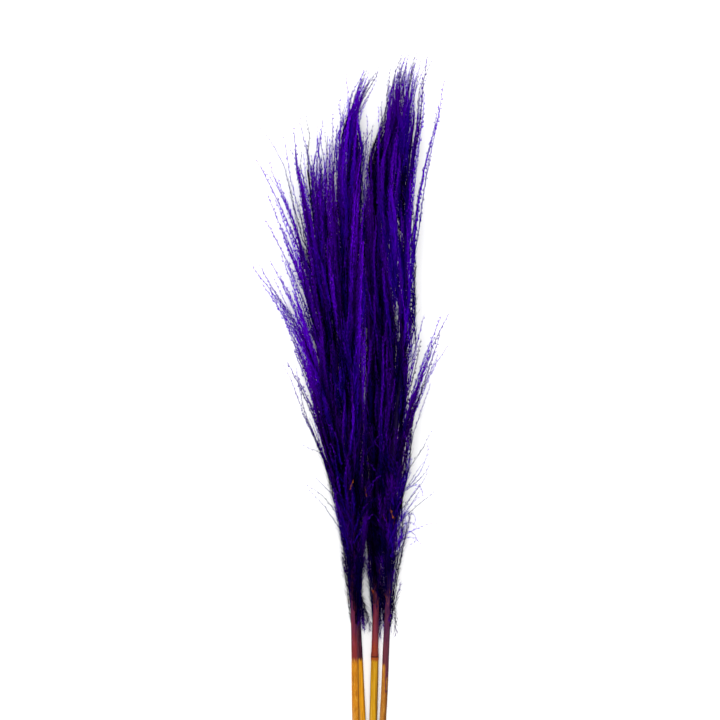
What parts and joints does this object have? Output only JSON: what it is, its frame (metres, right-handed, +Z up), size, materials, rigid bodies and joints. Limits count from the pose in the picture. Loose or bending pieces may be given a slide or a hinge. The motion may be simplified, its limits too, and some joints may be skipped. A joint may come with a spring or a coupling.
{
  "type": "bundle of pampas grass",
  "caption": "Bunch of cut and dried pampas grass, dyed blue-violet, with straw-coloured cut ends, laid flat with its feathery plumes side by side.",
  "frame": {"origin": "on the surface that the bunch lies on, under the middle of its bounding box", "axes": "+Y from the cut ends to the plume tips, +X across the bunch, +Z up from the surface"},
  "size_m": [0.2036, 0.75, 0.0624],
  "materials": {
    "culm": "dry, satin, dyed maroon towards the plume",
    "dyed_plume": "matt dyed plant fibre"
  },
  "bodies": {
    "root": {"culm_1": "culm", "plume_1_lock_01": "dyed_plume", "plume_1_lock_02": "dyed_plume", "plume_1_lock_03": "dyed_plume", "plume_1_lock_04": "dyed_plume", "plume_1_lock_05": "dyed_plume", "plume_1_lock_06": "dyed_plume", "plume_1_lock_07": "dyed_plume", "plume_1_lock_08": "dyed_plume", "plume_1_lock_09": "dyed_plume", "plume_1_lock_10": "dyed_plume", "plume_1_lock_11": "dyed_plume", "plume_1_lock_12": "dyed_plume", "plume_1_lock_13": "dyed_plume", "culm_2": "culm", "plume_2_lock_01": "dyed_plume", "plume_2_lock_02": "dyed_plume", "plume_2_lock_03": "dyed_plume", "plume_2_lock_04": "dyed_plume", "plume_2_lock_05": "dyed_plume", "plume_2_lock_06": "dyed_plume", "plume_2_lock_07": "dyed_plume", "plume_2_lock_08": "dyed_plume", "plume_2_lock_09": "dyed_plume", "plume_2_lock_10": "dyed_plume", "plume_2_lock_11": "dyed_plume", "plume_2_lock_12": "dyed_plume", "plume_2_lock_13": "dyed_plume", "culm_3": "culm", "plume_3_lock_01": "dyed_plume", "plume_3_lock_02": "dyed_plume", "plume_3_lock_03": "dyed_plume", "plume_3_lock_04": "dyed_plume", "plume_3_lock_05": "dyed_plume", "plume_3_lock_06": "dyed_plume", "plume_3_lock_07": "dyed_plume", "plume_3_lock_08": "dyed_plume", "plume_3_lock_09": "dyed_plume", "plume_3_lock_10": "dyed_plume", "plume_3_lock_11": "dyed_plume", "plume_3_lock_12": "dyed_plume", "plume_3_lock_13": "dyed_plume", "culm_4": "culm", "plume_4_lock_01": "dyed_plume", "plume_4_lock_02": "dyed_plume", "plume_4_lock_03": "dyed_plume", "plume_4_lock_04": "dyed_plume", "plume_4_lock_05": "dyed_plume", "plume_4_lock_06": "dyed_plume", "plume_4_lock_07": "dyed_plume", "plume_4_lock_08": "dyed_plume", "plume_4_lock_09": "dyed_plume", "plume_4_lock_10": "dyed_plume", "plume_4_lock_11": "dyed_plume", "plume_4_lock_12": "dyed_plume", "plume_4_lock_13": "dyed_plume"}
  },
  "joints": []
}
